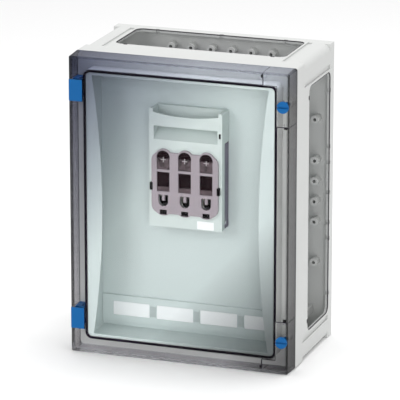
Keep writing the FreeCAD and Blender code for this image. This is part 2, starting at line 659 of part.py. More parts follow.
def make_fastener(side, word):
    """A slotted quarter-turn fastener with the ring that keeps it in its corner."""
    z = f"{side}fastenerZ"
    head = rod(f"{word}Knob", "y", "knobRadius", "fastenerX", "-knobProud", z,
               "knobProud - knobGap")
    shank = rod(f"{word}Shank", "y", "shankRadius", "fastenerX", "-knobGap - 0.1", z,
                "shankEnd + knobGap + 0.1")
    tail = rod(f"{word}Tail", "y", "tailRadius", "fastenerX", "shankEnd", z,
               "tailEnd - shankEnd")
    slot = block(f"{word}Slot", "fastenerX - knobRadius", "fastenerX + knobRadius",
                 "-knobProud - 1", "slotDeep - knobProud", f"{z} - slotWide / 2",
                 f"{z} + slotWide / 2")
    shape = cut(f"{word}FastenerCut", fuse(f"{word}FastenerSolid", [head, shank, tail]), [slot])
    finish(shape, f"{word.lower()}_lid_fastener")
    disc = rod(f"{word}RingDisc", "y", "shankRadius + ringWide", "fastenerX",
               "lidPane + knobGap", z, "ringThick")
    hole = rod(f"{word}RingHole", "y", "shankRadius", "fastenerX", "lidPane - 1", z,
               "ringThick + 3")
    finish(cut(f"{word}Ring", disc, [hole]), f"{word.lower()}_fastener_ring")


# --- protection cover ----------------------------------------------------------

def make_cover_frame():
    """A frame inside the collar. Its two cheeks bow inwards at half height."""
    out_x = f"({COLLAR_X} - collarWall - coverSlack)"
    out_z = f"({COLLAR_Z} - collarWall - coverSlack)"
    round_out = "collarRound - collarWall"
    frame = new_body("cover_frame")
    skirt = new_sketch(frame, "FrameSkirt", "XZ_Plane", "frameFront")
    centred(skirt, out_x, out_z, round_out)
    centred(skirt, f"{out_x} - frameWall", f"{out_z} - frameWall", f"{round_out} - frameWall")
    pad(frame, skirt, "coverDepth - frameFront")

    lip = new_sketch(frame, "FrameLip", "XZ_Plane", "frameFront")
    centred(lip, out_x, out_z, round_out)
    bowed_window(lip, f"{out_x} - cheekEnd", f"{out_x} - cheekMiddle", f"{out_z} - lipInset")
    pad(frame, lip, "frameLip")
    finish(frame, "cover_frame")


def bowed_window(sketch, end_x, middle_x, high):
    """Straight above and below, a shallow arc on each side."""
    ex, mx, zz = value(sketch, end_x), value(sketch, middle_x), value(sketch, high)
    top = sketch.addGeometry(Part.LineSegment(Vector(ex, zz, 0), Vector(-ex, zz, 0)))
    low = sketch.addGeometry(Part.LineSegment(Vector(-ex, -zz, 0), Vector(ex, -zz, 0)))
    right = sketch.addGeometry(Part.Arc(Vector(ex, -zz, 0), Vector(mx, 0, 0), Vector(ex, zz, 0)))
    left = sketch.addGeometry(Part.Arc(Vector(-ex, zz, 0), Vector(-mx, 0, 0), Vector(-ex, -zz, 0)))
    ends = arc_ends(sketch, right, left)
    sketch.addConstraint(Sketcher.Constraint("Coincident", top, 1, right, ends[0]))
    sketch.addConstraint(Sketcher.Constraint("Coincident", low, 2, right, 3 - ends[0]))
    sketch.addConstraint(Sketcher.Constraint("Coincident", top, 2, left, ends[1]))
    sketch.addConstraint(Sketcher.Constraint("Coincident", low, 1, left, 3 - ends[1]))
    sketch.addConstraint(Sketcher.Constraint("Symmetric", top, 1, low, 1, -1, 1))
    sketch.addConstraint(Sketcher.Constraint("Symmetric", top, 2, low, 2, -1, 1))
    sketch.addConstraint(Sketcher.Constraint("Symmetric", top, 1, top, 2, -2))
    measure(sketch, "DistanceX", (-1, 1, top, 1), end_x)
    measure(sketch, "DistanceY", (-1, 1, top, 1), high)
    bow = f"(({end_x}) - ({middle_x}))"
    radius = f"(({high})^2 + {bow}^2) / (2 * {bow})"
    measure(sketch, "Radius", (right,), radius)
    sketch.addConstraint(Sketcher.Constraint("Equal", right, left))


def arc_ends(sketch, right, left):
    """Which end of each side arc is the upper one."""
    upper = []
    for arc in (right, left):
        upper.append(1 if sketch.getPoint(arc, 1).y > 0 else 2)
    return upper


def make_cover_plate():
    half_x = f"({COLLAR_X} - collarWall - coverSlack)"
    half_z = f"({COLLAR_Z} - collarWall - coverSlack)"
    plate = new_body("cover_plate")
    face = new_sketch(plate, "CoverFace", "XZ_Plane", "coverDepth")
    centred(face, half_x, half_z, "collarRound - collarWall")
    pad(plate, face, "coverThick")
    window = new_sketch(plate, "SwitchWindow", "XZ_Plane", "coverDepth")
    side = "carrierWide / 2 - housingInset + plateGap"
    outline(window, f"-({side})", side, "carrierLow - plateGap",
            "carrierTop - neckDrop + plateGap")
    pocket(plate, window, "coverThick")
    holes = new_sketch(plate, "CoverHoles", "XZ_Plane", "coverDepth")
    seats = new_sketch(plate, "ScrewSeats", "XZ_Plane", "coverDepth")
    for hand in ("", "-"):
        for side in ("", "-"):
            ring(holes, "towerHole + holeSlack", f"{hand}postX", f"{side}postZ")
            ring(seats, "seatRadius", f"{hand}postX", f"{side}postZ")
    pocket(plate, holes, "coverThick")
    pocket(plate, seats, "headThick")
    finish(plate, "cover_plate")
    screws = []
    for hand in ("", "-"):
        for side in ("", "-"):
            screws.append(screw(f"CoverScrew{len(screws)}", f"{hand}postX", f"{side}postZ",
                                "coverDepth + headThick", "towerHole", "screwLong",
                                "screwHead"))
    finish(group("CoverScrews", screws), "cover_screws")


def screw(name, x, z, seat, radius, length, head_radius):
    """A pan-head screw whose head rests on a face at the given depth."""
    head = rod(f"{name}Head", "y", head_radius, x, f"{seat} - headThick", z, "headThick")
    shank = rod(f"{name}Shank", "y", f"{radius} - pinSlack", x, f"{seat} - 0.5", z,
                f"{length} + 0.5")
    slot = block(f"{name}Slot", f"{x} - {head_radius}", f"{x} + {head_radius}",
                 f"{seat} - headThick - 1", f"{seat} - headThick + driveDeep",
                 f"{z} - driveWide / 2", f"{z} + driveWide / 2")
    return cut(name, fuse(f"{name}Solid", [head, shank]), [slot])


def make_label_strip():
    """A grey strip along the cover's lower edge, with a bay for each label card."""
    front = "coverDepth - stripThick"
    bay_floor = f"{front} + bayDeep"
    half_x = f"({COLLAR_X} - collarWall - coverSlack - frameWall - cardSlack)"
    high = "stripLow + stripHigh"
    pieces = [
        block("StripBack", f"-{half_x}", half_x, bay_floor, "coverDepth", "stripLow", high),
        block("StripBand", f"-{half_x}", half_x, f"{front} - bandProud", bay_floor,
              f"{high} - bandHigh", high),
        block("StripFoot", f"-{half_x}", half_x, front, bay_floor, "stripLow",
              "cardLow - cardSlack"),
    ]
    first = "cardShift - 1.5 * cardPitch - cardWide / 2"
    edges = [(f"-{half_x}", f"{first} - cardSlack")]
    for bay in range(3):
        edges.append((f"{first} + {bay} * cardPitch + cardWide + cardSlack",
                      f"{first} + {bay + 1} * cardPitch - cardSlack"))
    edges.append((f"{first} + 3 * cardPitch + cardWide + cardSlack", half_x))
    for number, (left, right) in enumerate(edges):
        pieces.append(block(f"StripRib{number}", left, right, front, bay_floor,
                            "cardLow - cardSlack", f"{high} - bandHigh"))
    finish(fuse("StripSolid", pieces), "label_strip")
    cards = []
    for bay in range(4):
        left = f"{first} + {bay} * cardPitch"
        cards.append(block(f"Card{bay}", left, f"{left} + cardWide", f"{bay_floor} - cardThick",
                           bay_floor, "cardLow", "cardLow + cardHigh"))
    finish(group("Cards", cards), "label_cards")


# --- mounting plate and terminal bars ---------------------------------------------

def make_mounting_plate():
    plate = new_body("mounting_plate")
    face = new_sketch(plate, "PlateFace", "XZ_Plane", "plateDepth")
    centred(face, "plateWide / 2", "plateHigh / 2", "plateRound")
    pad(plate, face, "plateThick")
    holes = new_sketch(plate, "PlateHoles", "XZ_Plane", "plateDepth")
    for hand in ("", "-"):
        for side in ("", "-"):
            ring(holes, "towerHole + holeSlack", f"{hand}pillarX", f"{side}pillarZ")
    for x, z in spacer_places() + bar_holder_places():
        ring(holes, "towerHole + holeSlack", x, z)
    pocket(plate, holes, "plateThick")
    finish(plate, "mounting_plate")
    screws = []
    for hand in ("", "-"):
        for side in ("", "-"):
            screws.append(screw(f"PlateScrew{len(screws)}", f"{hand}pillarX",
                                f"{side}pillarZ", "plateDepth", "towerHole", "screwLong",
                                "screwHead"))
    finish(group("PlateScrews", screws), "mounting_plate_screws")


def spacer_places():
    places = []
    for hand in ("", "-"):
        for z in ("housingTop - spacerInset", "housingLow + spacerInset"):
            places.append((f"{hand}polePitch / 2", z))
    return places


def bar_holder_places():
    places = []
    for hand in ("", "-"):
        for z in ("barZ", "barZ - barPitch"):
            places.append((f"{hand}(barLong / 2 - barEnd)", z))
    return places


def make_terminal_bars():
    """An earth bar and a neutral bar on insulating holders, with clamp screws."""
    bar_back = "plateDepth - holderDeep"
    bar_front = f"{bar_back} - barThick"
    screws = []
    for word, z in (("earth", "barZ"), ("neutral", "barZ - barPitch")):
        bar = block(f"{word}Bar", "-barLong / 2", "barLong / 2", bar_front, bar_back,
                    f"{z} - barThick / 2", f"{z} + barThick / 2")
        holes = []
        for number in range(9):
            x = f"{number - 4} * entryPitch"
            holes.append(rod(f"{word}Entry{number}", "z", "entryRadius", x,
                             f"{bar_back} - barThick / 2", f"{z} - barThick", "2 * barThick"))
            holes.append(rod(f"{word}Tap{number}", "y", "clampRadius", x, f"{bar_front} - 1",
                             z, "barThick / 2 + 1"))
            screws.append(screw(f"{word}Clamp{number}", x, z, bar_front, "clampRadius",
                                "clampLong", "clampHead"))
        for number, hand in enumerate(("", "-")):
            x = f"{hand}(barLong / 2 - barEnd)"
            holes.append(rod(f"{word}End{number}", "y", "endRadius", x, f"{bar_front} - 1",
                             z, "barThick + 2"))
            screws.append(screw(f"{word}EndScrew{number}", x, z, bar_front, "endRadius",
                                "barThick + 4", "endHead"))
        finish(cut(f"{word}BarCut", bar, holes), f"{word}_bar")
    holders = []
    rear_screws = []
    for number, (x, z) in enumerate(bar_holder_places()):
        foot = block(f"Holder{number}", f"{x} - holderWide / 2", f"{x} + holderWide / 2",
                     bar_back, "plateDepth", f"{z} - holderHigh / 2", f"{z} + holderHigh / 2")
        hole = rod(f"HolderHole{number}", "y", "endRadius", x, f"{bar_back} - 1", z,
                   "holderDeep + 2")
        holders.append(cut(f"HolderCut{number}", foot, [hole]))
        rear_screws.append(rear_screw(f"HolderScrew{number}", x, z,
                                      f"{bar_back} + holderDeep / 2", "clampRadius"))
    finish(group("BarHolders", holders), "bar_holders")
    finish(group("BarScrews", screws), "bar_screws")
    finish(group("HolderScrews", rear_screws), "bar_holder_screws")


def rear_screw(name, x, z, tip, radius):
    """A screw put in from behind the mounting plate; tip is how far forward it ends."""
    back = "plateDepth + plateThick"
    shank = rod(f"{name}Shank", "y", radius, x, tip, z, f"{back} + 0.5 - ({tip})")
    head = rod(f"{name}Head", "y", f"{radius} + rearHeadLip", x, back, z, "rearHeadThick")
    return fuse(name, [shank, head])


# --- fuse switch: housing and contacts ---------------------------------------------

POLES = {"left": "-polePitch", "middle": "0", "right": "polePitch"}


def make_housing():
    """A box behind the cover and a narrower nose that comes through it."""
    side = "carrierWide / 2 - housingInset"
    inside = f"{side} - housingWall"
    front = "carrierFront + carrierThick + pivotGap"
    low = f"pivotZ - (pivotDepth - ({front}))"
    shoulder = "coverDepth + coverThick + shoulderGap"
    top = "carrierTop - neckDrop"
    body = fuse("HousingBody", [
        block("HousingRear", f"-({side} + rearStep)", f"{side} + rearStep", shoulder,
              "housingBack", "housingLow", "housingTop"),
        block("HousingNose", f"-({side})", side, front, shoulder, low, "headLow - 1"),
        block("HousingNeck", f"-({side})", side, "headBack + neckGap", shoulder,
              "headLow - 1", top),
    ])
    holes = [
        block("Well", f"-({inside})", inside, f"{front} - 1", "housingFloor",
              f"{low} + noseWall", f"{top} - housingWall"),
        block("LowerTerminalRoom", f"-({inside})", inside, f"{shoulder} + noseWall",
              "housingFloor", "housingLow + roomWall", f"{low} + roomWall"),
        block("CarrierRoom", f"-({inside})", inside, f"{front} - 1", "pivotDepth + earRoom",
              f"{low} - 1", f"{low} + roomWall"),
        rod("PivotHole", "x", "pivotPin", f"-({side} + 1)", "pivotDepth", "pivotZ",
            f"2 * ({side} + 1)"),
        nose_round(side, front, low),
    ]
    for pole, x in POLES.items():
        holes.append(block(f"{pole}RearRoom", f"{x} - polePitch / 2 + poleWall / 2",
                           f"{x} + polePitch / 2 - poleWall / 2", "housingFloor + roomWall",
                           "housingBack + 1", "housingLow + roomWall",
                           "housingTop - roomWall"))
        holes.append(rod(f"{pole}BoltAccess", "y", "boltHead + boltGap", x, f"{shoulder} - 1",
                         "housingLow + lowerBolt", "noseWall + 2"))
    walls = []
    for number, hand in enumerate(("", "-")):
        middle = f"{hand}polePitch / 2"
        walls.append(block(f"PoleWall{number}", f"{middle} - poleWall / 2",
                           f"{middle} + poleWall / 2", shoulder, "housingFloor + 1",
                           f"{low} + noseWall", f"{top} - housingWall"))
    for number, (x, z) in enumerate(spacer_places()):
        walls.append(rod(f"SpacerBoss{number}", "y", "bossRadius", x, "housingFloor + 2", z,
                         "housingBack - housingFloor - 2"))
    shaped = fuse("HousingWalled", [cut("HousingHollow", body, holes)] + walls)
    screw_holes = [rod(f"HousingScrewHole{number}", "y", "towerHole", x,
                       "housingBack - spacerScrew - 2", z, "spacerScrew + 3")
                   for number, (x, z) in enumerate(spacer_places())]
    for pole, x in POLES.items():
        for place, z in (("Upper", "housingTop - upperBolt"), ("Lower", "housingLow + lowerBolt")):
            screw_holes.append(rod(f"{pole}{place}BoltHole", "y", "boltRadius", x,
                                   "housingFloor - 1", z, "boltLong"))
    finish(cut("HousingDrilled", shaped, screw_holes), "switch_housing")


def nose_round(side, front, low):
    """Rounds the housing's lower front corner about the carrier's pivot."""
    corner = block("NoseCorner", f"-({side} + 1)", f"{side} + 1", f"{front} - 1",
                   "pivotDepth", f"{low} - 1", "pivotZ")
    kept = rod("NoseRound", "x", f"pivotZ - ({low})", f"-({side} + 2)", "pivotDepth",
               "pivotZ", f"2 * ({side} + 2)")
    return cut("NoseRelief", corner, [kept])


def make_housing_fixings():
    spacers = []
    screws = []
    for number, (x, z) in enumerate(spacer_places()):
        post = rod(f"Spacer{number}", "y", "bossRadius", x, "housingBack", z,
                   "plateDepth - housingBack")
        bore = rod(f"SpacerBore{number}", "y", "towerHole", x, "housingBack - 1", z,
                   "plateDepth - housingBack + 2")
        spacers.append(cut(f"SpacerCut{number}", post, [bore]))
        screws.append(rear_screw(f"SwitchScrew{number}", x, z, "housingBack - spacerScrew",
                                 "towerHole - pinSlack"))
    finish(group("Spacers", spacers), "switch_spacers")
    finish(group("SwitchScrews", screws), "switch_screws")


def make_contacts():
    """Copper contacts: a jaw for the fuse blade and a strip to the terminal bolt."""
    strip_front = "housingFloor - contactThick"
    upper_end = "fuseHigh + capThick + upperJawGap"
    lower_end = "fuseLow - capThick - lowerJawGap"
    inner = "bladeThick / 2 + jawGap"
    outer = f"{inner} + jawThick"
    bolts = []
    for word, z0, z1, bolt_z, jaw0, jaw1 in (
        ("upper", upper_end, "housingTop - stripInset", "housingTop - upperBolt",
         upper_end, f"{upper_end} + jawLong"),
        ("lower", "housingLow + roomWall + 1", lower_end, "housingLow + lowerBolt",
         f"{lower_end} - jawLong", lower_end),
    ):
        contacts = []
        for pole, x in POLES.items():
            name = f"{word}{pole}"
            strip = block(f"{name}Strip", f"{x} - contactWide / 2", f"{x} + contactWide / 2",
                          strip_front, "housingFloor", z0, z1)
            jaws = []
            for hand in (-1, 1):
                near, far = f"{x} + {hand} * ({inner})", f"{x} + {hand} * ({outer})"
                left, right = (far, near) if hand < 0 else (near, far)
                jaws.append(block(f"{name}Jaw{hand + 1}", left, right, "bladeFront - 1",
                                  strip_front, jaw0, jaw1))
            hole = rod(f"{name}BoltHole", "y", "boltRadius", x, f"{strip_front} - 1", bolt_z,
                       "contactThick + 2")
            contacts.append(cut(f"{name}Contact", fuse(f"{name}Solid", [strip] + jaws), [hole]))
            head = rod(f"{name}BoltHead", "y", "boltHead", x, f"{strip_front} - boltThick",
                       bolt_z, "boltThick")
            shank = rod(f"{name}BoltShank", "y", "boltRadius - pinSlack", x,
                        f"{strip_front} - 1", bolt_z, "boltLong")
            bolts.append(fuse(f"{name}Bolt", [head, shank]))
        finish(group(f"{word}Contacts", contacts), f"{word}_contacts")
    finish(group("TerminalBolts", bolts), "terminal_bolts")


def make_fuse_links():
    """A ceramic body and a pair of metal blades for each pole."""
    for pole, x in POLES.items():
        body = new_body(f"{pole}FuseBody")
        section = new_sketch(body, f"{pole.title()}Fuse", "XY_Plane", "fuseLow")
        outline(section, f"{x} - fuseWide / 2", f"{x} + fuseWide / 2", "fuseFront", "fuseBack",
                "fuseRound")
        pad(body, section, "fuseHigh - fuseLow", backwards=False)
        finish(body, f"{pole}_fuse_body")
        halves = []
        for word, cap0, cap1, blade0, blade1 in (
            ("Upper", "fuseHigh", "fuseHigh + capThick", "fuseHigh + capThick",
             "fuseHigh + capThick + bladeLong"),
            ("Lower", "fuseLow - capThick", "fuseLow", "fuseLow - capThick - bladeLong",
             "fuseLow - capThick"),
        ):
            cap = block(f"{pole}{word}Cap", f"{x} - fuseWide / 2 + capInset",
                        f"{x} + fuseWide / 2 - capInset", "fuseFront + capInset",
                        "fuseBack - capInset", cap0, cap1)
            blade = block(f"{pole}{word}Blade", f"{x} - bladeThick / 2",
                          f"{x} + bladeThick / 2", "bladeFront", "bladeBack", blade0, blade1)
            halves.append(fuse(f"{pole}{word}Knife", [cap, blade]))
        finish(group(f"{pole}Knives", halves), f"{pole}_fuse_blades")


# --- fuse switch: carrier --------------------------------------------------------

def make_carrier():
    """The handle piece: a tray with a thick head, ribs, ears and rests for the fuses."""
    half = "carrierWide / 2"
    inner = f"{half} - carrierWall"
    face_back = "carrierFront + carrierWall"
    carrier = new_body("FuseCarrier")
    panel = new_sketch(carrier, "CarrierPanel", "XZ_Plane", "carrierFront")
    outline(panel, f"-({half})", half, "carrierLow", "carrierTop", "carrierRound")
    pad(carrier, panel, "carrierThick")
    head = new_sketch(carrier, "CarrierHead", "XZ_Plane", "carrierFront")
    outline(head, f"-({half})", half, "headLow", "carrierTop", "carrierRound")
    pad(carrier, head, "headBack - carrierFront")
    hollow = new_sketch(carrier, "CarrierHollow", "XZ_Plane", face_back)
    outline(hollow, f"-({inner})", inner, "carrierLow + carrierWall", "headLow - carrierWall",
            "hollowRound")
    pocket(carrier, hollow, "carrierThick")

    pieces = [carrier]
    for number, hand in enumerate(("", "-")):
        rib = f"{hand}polePitch / 2"
        pieces.append(block(f"CarrierRib{number}", f"{rib} - poleWall / 2",
                            f"{rib} + poleWall / 2", f"{face_back} - 1", "coverDepth",
                            "fuseLow - ribLonger", "fuseHigh + ribLonger"))
        ear0, ear1 = f"{inner} - earGap - earThick", f"{inner} - earGap"
        left, right = (ear0, ear1) if hand == "" else (f"-({ear1})", f"-({ear0})")
        pieces.append(rod(f"CarrierEar{number}", "x", "earRadius", left, "pivotDepth",
                          "pivotZ", "earThick"))
        pieces.append(block(f"CarrierEarStem{number}", left, right, f"{face_back} - 1",
                            "pivotDepth", "pivotZ - earRadius + 0.5", "pivotZ + earRadius"))
    for pole, x in POLES.items():
        for place, z in (("Low", "lowRestZ"), ("High", "highRestZ")):
            pieces.append(block(f"{pole}Rest{place}", f"{x} - restWide / 2",
                                f"{x} + restWide / 2", f"{face_back} - 1", "fuseFront", z,
                                f"{z} + restHigh"))
    holes = grip_scoop() + [finger_pocket()]
    holes.append(rod("EarBore", "x", "pivotPin + pinSlack", f"-({half})", "pivotDepth",
                     "pivotZ", f"2 * ({half})"))
    for pole, x in POLES.items():
        holes += window_holes(f"{pole}Carrier", x, "carrierFront - 1", f"{face_back} + 1",
                              "lensRim", "holeMore")
    holes.append(block("LockSlot", "lockSlotX", "lockSlotX + lockSlotWide", "carrierFront - 1",
                       "carrierFront + 2", "lockSlotZ", "lockSlotZ + lockSlotHigh"))
    finish(cut("CarrierCut", fuse("CarrierSolid", pieces), holes), "fuse_carrier")


def grip_scoop():
    """The hollow behind the top edge and the long sagging curve of that edge."""
    left, right = "-scoopWide / 2", "scoopWide / 2"
    above = "carrierTop + 1"
    scoop = block("GripScoop", left, right, "carrierFront + lipThick", "headBack - scoopWall",
                  "scoopLow", above)
    disc = rod("SagRound", "y", "sagRadius", "0", "carrierFront - 1",
               "carrierTop - sagDeep + sagRadius", "lipThick + 2")
    ends = block("SagEnds", left, right, "carrierFront - 1", "carrierFront + lipThick + 1",
                 "scoopLow", above)
    return [scoop, common("GripSag", disc, ends)]


def finger_pocket():
    """A wedge-shaped pocket under the grip: deep above, running out below."""
    wedge = new_body("FingerPocket")
    side = new_sketch(wedge, "PocketSide", "YZ_Plane", "-pocketWide / 2")
    before, floor = "carrierFront - 1", "carrierFront + pocketDeep"
    corners = [(before, "pocketLow"), (floor, "pocketKnee"), (floor, "pocketTop"),
               (before, "pocketTop")]
    points = [Vector(value(side, d), value(side, z), 0) for d, z in corners]
    lines = []
    for number in range(4):
        line = Part.LineSegment(points[number], points[(number + 1) % 4])
        lines.append(side.addGeometry(line))
    for number in range(4):
        after = lines[(number + 1) % 4]
        side.addConstraint(Sketcher.Constraint("Coincident", lines[number], 2, after, 1))
    for number, (d, z) in enumerate(corners):
        measure(side, "DistanceX", (-1, 1, lines[number], 1), d)
        measure(side, "DistanceY", (-1, 1, lines[number], 1), z)
    pad(wedge, side, "pocketWide", backwards=False)
    return wedge


def window_holes(name, x, front, back, less, more):
    """One pole's arch and square, less a rim for the lenses, and its test hole."""
    deep = f"({back}) - ({front})"
    arch, square = f"(archWide / 2 - {less})", f"(squareWide / 2 - {less})"
    test = f"(testRadius + {more})"
    return [
        block(f"{name}Arch", f"{x} - {arch}", f"{x} + {arch}", front, back,
              f"archLow + {less}", "archZ"),
        rod(f"{name}ArchTop", "y", f"archRadius - {less}", x, front, "archZ", deep),
        block(f"{name}Square", f"{x} - {square}", f"{x} + {square}", front, back,
              f"squareLow + {less}", f"squareHigh - {less}"),
        rod(f"{name}TestRound", "y", test, x, front, "testZ", deep),
        block(f"{name}TestTop", f"{x} - {test}", f"{x} + {test}", front, back, "testZ",
              f"testTop + {more}"),
    ]


def make_carrier_window():
    """A smoky panel on the carrier's face, with lenses, slot plugs and side clips."""
    front = "carrierFront - windowProud"
    panel = new_body("WindowPanel")
    face = new_sketch(panel, "WindowFace", "XZ_Plane", front)
    outline(face, "-windowWide / 2", "windowWide / 2", "windowLow", "windowTop", "windowRound")
    pad(panel, face, "windowProud")
    pieces = [panel]
    holes = []
    tongues = []
    lenses = []
    blacks = []
    seat = f"{front} + lensSink"
    for pole, x in POLES.items():
        pieces.append(rod(f"{pole}Crown", "y", "crownRadius", x, front, "archZ", "windowProud"))
        pieces.append(rod(f"{pole}Foot", "y", "footRadius", x, front, "footZ", "windowProud"))
        holes += window_holes(f"{pole}Window", x, f"{front} - 1", "carrierFront + 1",
                              "0", "0")
        tongues.append(block(f"{pole}Tongue", f"{x} - tongueWide / 2", f"{x} + tongueWide / 2",
                             f"{front} + 0.5", "carrierFront", "tongueLow", "testTop + 1"))
        square, arch = "(squareWide / 2 - lensGap)", "(archWide / 2 - lensGap)"
        lenses.append(block(f"{pole}SquareLens", f"{x} - {square}", f"{x} + {square}", seat,
                            "carrierFront", "squareLow + lensGap", "squareHigh - lensGap"))
        lenses.append(fuse(f"{pole}ArchLens", [
            block(f"{pole}ArchLensLow", f"{x} - {arch}", f"{x} + {arch}", seat, "carrierFront",
                  "archLow + lensGap", "archZ"),
            rod(f"{pole}ArchLensTop", "y", "archRadius - lensGap", x, seat, "archZ",
                "windowProud - lensSink"),
        ]))
        holes.append(block(f"{pole}SlotSeat", f"{x} - plugWide / 2", f"{x} + plugWide / 2",
                           f"{front} - 1", "carrierFront + 1", "plugLow", "plugHigh"))
        blacks.append(block(f"{pole}Plug", f"{x} - plugWide / 2 + lensGap",
                            f"{x} + plugWide / 2 - lensGap", f"{front} + 0.5", "carrierFront",
                            "plugLow + lensGap", "plugHigh - lensGap"))
    for number, x in enumerate(("-clipX - clipWide", "clipX")):
        blacks.append(block(f"SideClip{number}", x, f"{x} + clipWide", f"{front} - clipProud",
                            "carrierFront", "clipLow", "clipHigh"))
        holes.append(block(f"SideClipSeat{number}", f"{x} - lensGap", f"{x} + clipWide + lensGap",
                           f"{front} - 1", "carrierFront + 1", "clipLow - lensGap",
                           "clipHigh + lensGap"))
    window = cut("WindowCut", fuse("WindowSolid", pieces), holes)
    finish(fuse("WindowWithTongues", [window] + tongues), "carrier_window")
    finish(group("WindowLenses", lenses), "window_lenses")
    finish(group("ClipsAndPlugs", blacks), "window_clips")
    card = block("RatingCard", "ratingX", "ratingX + ratingWide", "carrierFront - ratingThick",
                 "carrierFront", "ratingZ", "ratingZ + ratingHigh")
    finish(card, "rating_card")


def make_pivot():
    side = "(carrierWide / 2 - housingInset)"
    pin = rod("CarrierPin", "x", "pivotPin", f"-{side}", "pivotDepth", "pivotZ",
              f"2 * {side}")
    finish(pin, "carrier_pivot_pin")


make_base()
make_opening_seals()
make_lid()
make_hinge("", "Upper")
make_hinge("-", "Lower")
make_fastener("", "Upper")
make_fastener("-", "Lower")
make_cover_frame()
make_cover_plate()
make_label_strip()
make_mounting_plate()
make_terminal_bars()
make_housing()
make_housing_fixings()
make_contacts()
make_fuse_links()
make_carrier()
make_carrier_window()
make_pivot()
doc.recompute()

for thing in doc.Objects:
    if "Invalid" in thing.State or "Error" in thing.State:
        raise RuntimeError(f"{thing.Name} did not rebuild: {thing.State}")
os.makedirs("parts", exist_ok=True)
for part in sub_parts:
    if part.Shape.isNull() or not part.Shape.isValid() or not part.Shape.Solids:
        raise RuntimeError(f"{part.Label} has no valid shape")
    part.Shape.exportStep(f"parts/{part.Label}.step")
print(len(sub_parts), "parts written")
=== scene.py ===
import json
from math import radians

import bmesh
import bpy
from mathutils import Matrix, Vector


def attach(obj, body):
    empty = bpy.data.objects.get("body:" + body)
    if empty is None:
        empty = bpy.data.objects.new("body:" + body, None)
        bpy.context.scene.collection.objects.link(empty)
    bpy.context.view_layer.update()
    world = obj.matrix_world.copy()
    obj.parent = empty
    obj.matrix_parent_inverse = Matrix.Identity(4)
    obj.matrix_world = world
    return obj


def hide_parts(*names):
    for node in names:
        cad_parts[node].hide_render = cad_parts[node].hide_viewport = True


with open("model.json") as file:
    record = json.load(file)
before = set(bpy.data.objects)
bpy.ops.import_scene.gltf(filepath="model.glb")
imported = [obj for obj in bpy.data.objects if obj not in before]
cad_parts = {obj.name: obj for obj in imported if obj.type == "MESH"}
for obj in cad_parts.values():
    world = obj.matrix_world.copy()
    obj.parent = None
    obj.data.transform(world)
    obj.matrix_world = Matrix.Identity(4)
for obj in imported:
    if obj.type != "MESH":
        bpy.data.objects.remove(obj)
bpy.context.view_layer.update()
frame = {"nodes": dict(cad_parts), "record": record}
record = frame["record"]
bodyOfNode = {n: body for body, nodes in record["behaviour"]["bodies"].items() for n in nodes}
slotOfNode = {s["node"]: s["material_slot"] for s in record["subparts"]}
print("frame loaded:", len(frame["nodes"]), "nodes")

boxDepthMiddle = 80        # mm from the lid's face to the frame's y = 0
boxHalfHeight = 180


def at(x, depth, z):       # mm from the middle, behind the lid's face, from the middle
    return Vector((x, depth - boxDepthMiddle, z + boxHalfHeight)) / 1000


# shader groups that more than one material uses

def newGroup(name, inputs, outputs):
    group = bpy.data.node_groups.new(name, "ShaderNodeTree")
    for label, kind, value in inputs:
        socket = group.interface.new_socket(label, in_out="INPUT", socket_type=kind)
        socket.default_value = value
    for label, kind in outputs:
        group.interface.new_socket(label, in_out="OUTPUT", socket_type=kind)
    return group, group.nodes.new("NodeGroupInput"), group.nodes.new("NodeGroupOutput")


def addNode(tree, kind, **settings):
    node = tree.nodes.new(kind)
    for key, value in settings.items():
        setattr(node, key, value)
    return node


def ramp(tree, source, low, high):      # 0 below low, 1 above high
    node = addNode(tree, "ShaderNodeMapRange", clamp=True)
    node.inputs["From Min"].default_value = low
    node.inputs["From Max"].default_value = high
    tree.links.new(source, node.inputs["Value"])
    return node.outputs["Result"]


grainValues = {
    "grainDetail": 2, "driftDetail": 4, "driftSpan": (0.35, 0.65),
    "rubScale": 38, "rubDetail": 6, "rubRoughness": 0.7, "rubSpan": (0.45, 0.75),
}


def makeGrainGroup():
    # the fine spark texture of a moulded face, and a slow drift of tone
    group, inlet, outlet = newGroup(
        "mouldedGrain",
        [("Grain Size", "NodeSocketFloat", 900.0), ("Drift Size", "NodeSocketFloat", 6.0)],
        [("Height", "NodeSocketFloat"), ("Tone", "NodeSocketFloat"), ("Rub", "NodeSocketFloat")])
    place = group.nodes.new("ShaderNodeTexCoord")
    grain = addNode(group, "ShaderNodeTexNoise")
    grain.inputs["Detail"].default_value = grainValues["grainDetail"]
    drift = addNode(group, "ShaderNodeTexNoise")
    drift.inputs["Detail"].default_value = grainValues["driftDetail"]
    rub = addNode(group, "ShaderNodeTexNoise")
    rub.inputs["Scale"].default_value = grainValues["rubScale"]
    rub.inputs["Detail"].default_value = grainValues["rubDetail"]
    rub.inputs["Roughness"].default_value = grainValues["rubRoughness"]
    for node in (grain, drift, rub):
        group.links.new(place.outputs["Object"], node.inputs["Vector"])
    group.links.new(inlet.outputs["Grain Size"], grain.inputs["Scale"])
    group.links.new(inlet.outputs["Drift Size"], drift.inputs["Scale"])
    group.links.new(grain.outputs["Fac"], outlet.inputs["Height"])
    group.links.new(ramp(group, drift.outputs["Fac"], *grainValues["driftSpan"]),
                    outlet.inputs["Tone"])
    group.links.new(ramp(group, rub.outputs["Fac"], *grainValues["rubSpan"]),
                    outlet.inputs["Rub"])
    return group


brushValues = {"lineDetail": 3, "cloudScale": 60, "cloudSpan": (0.35, 0.65)}


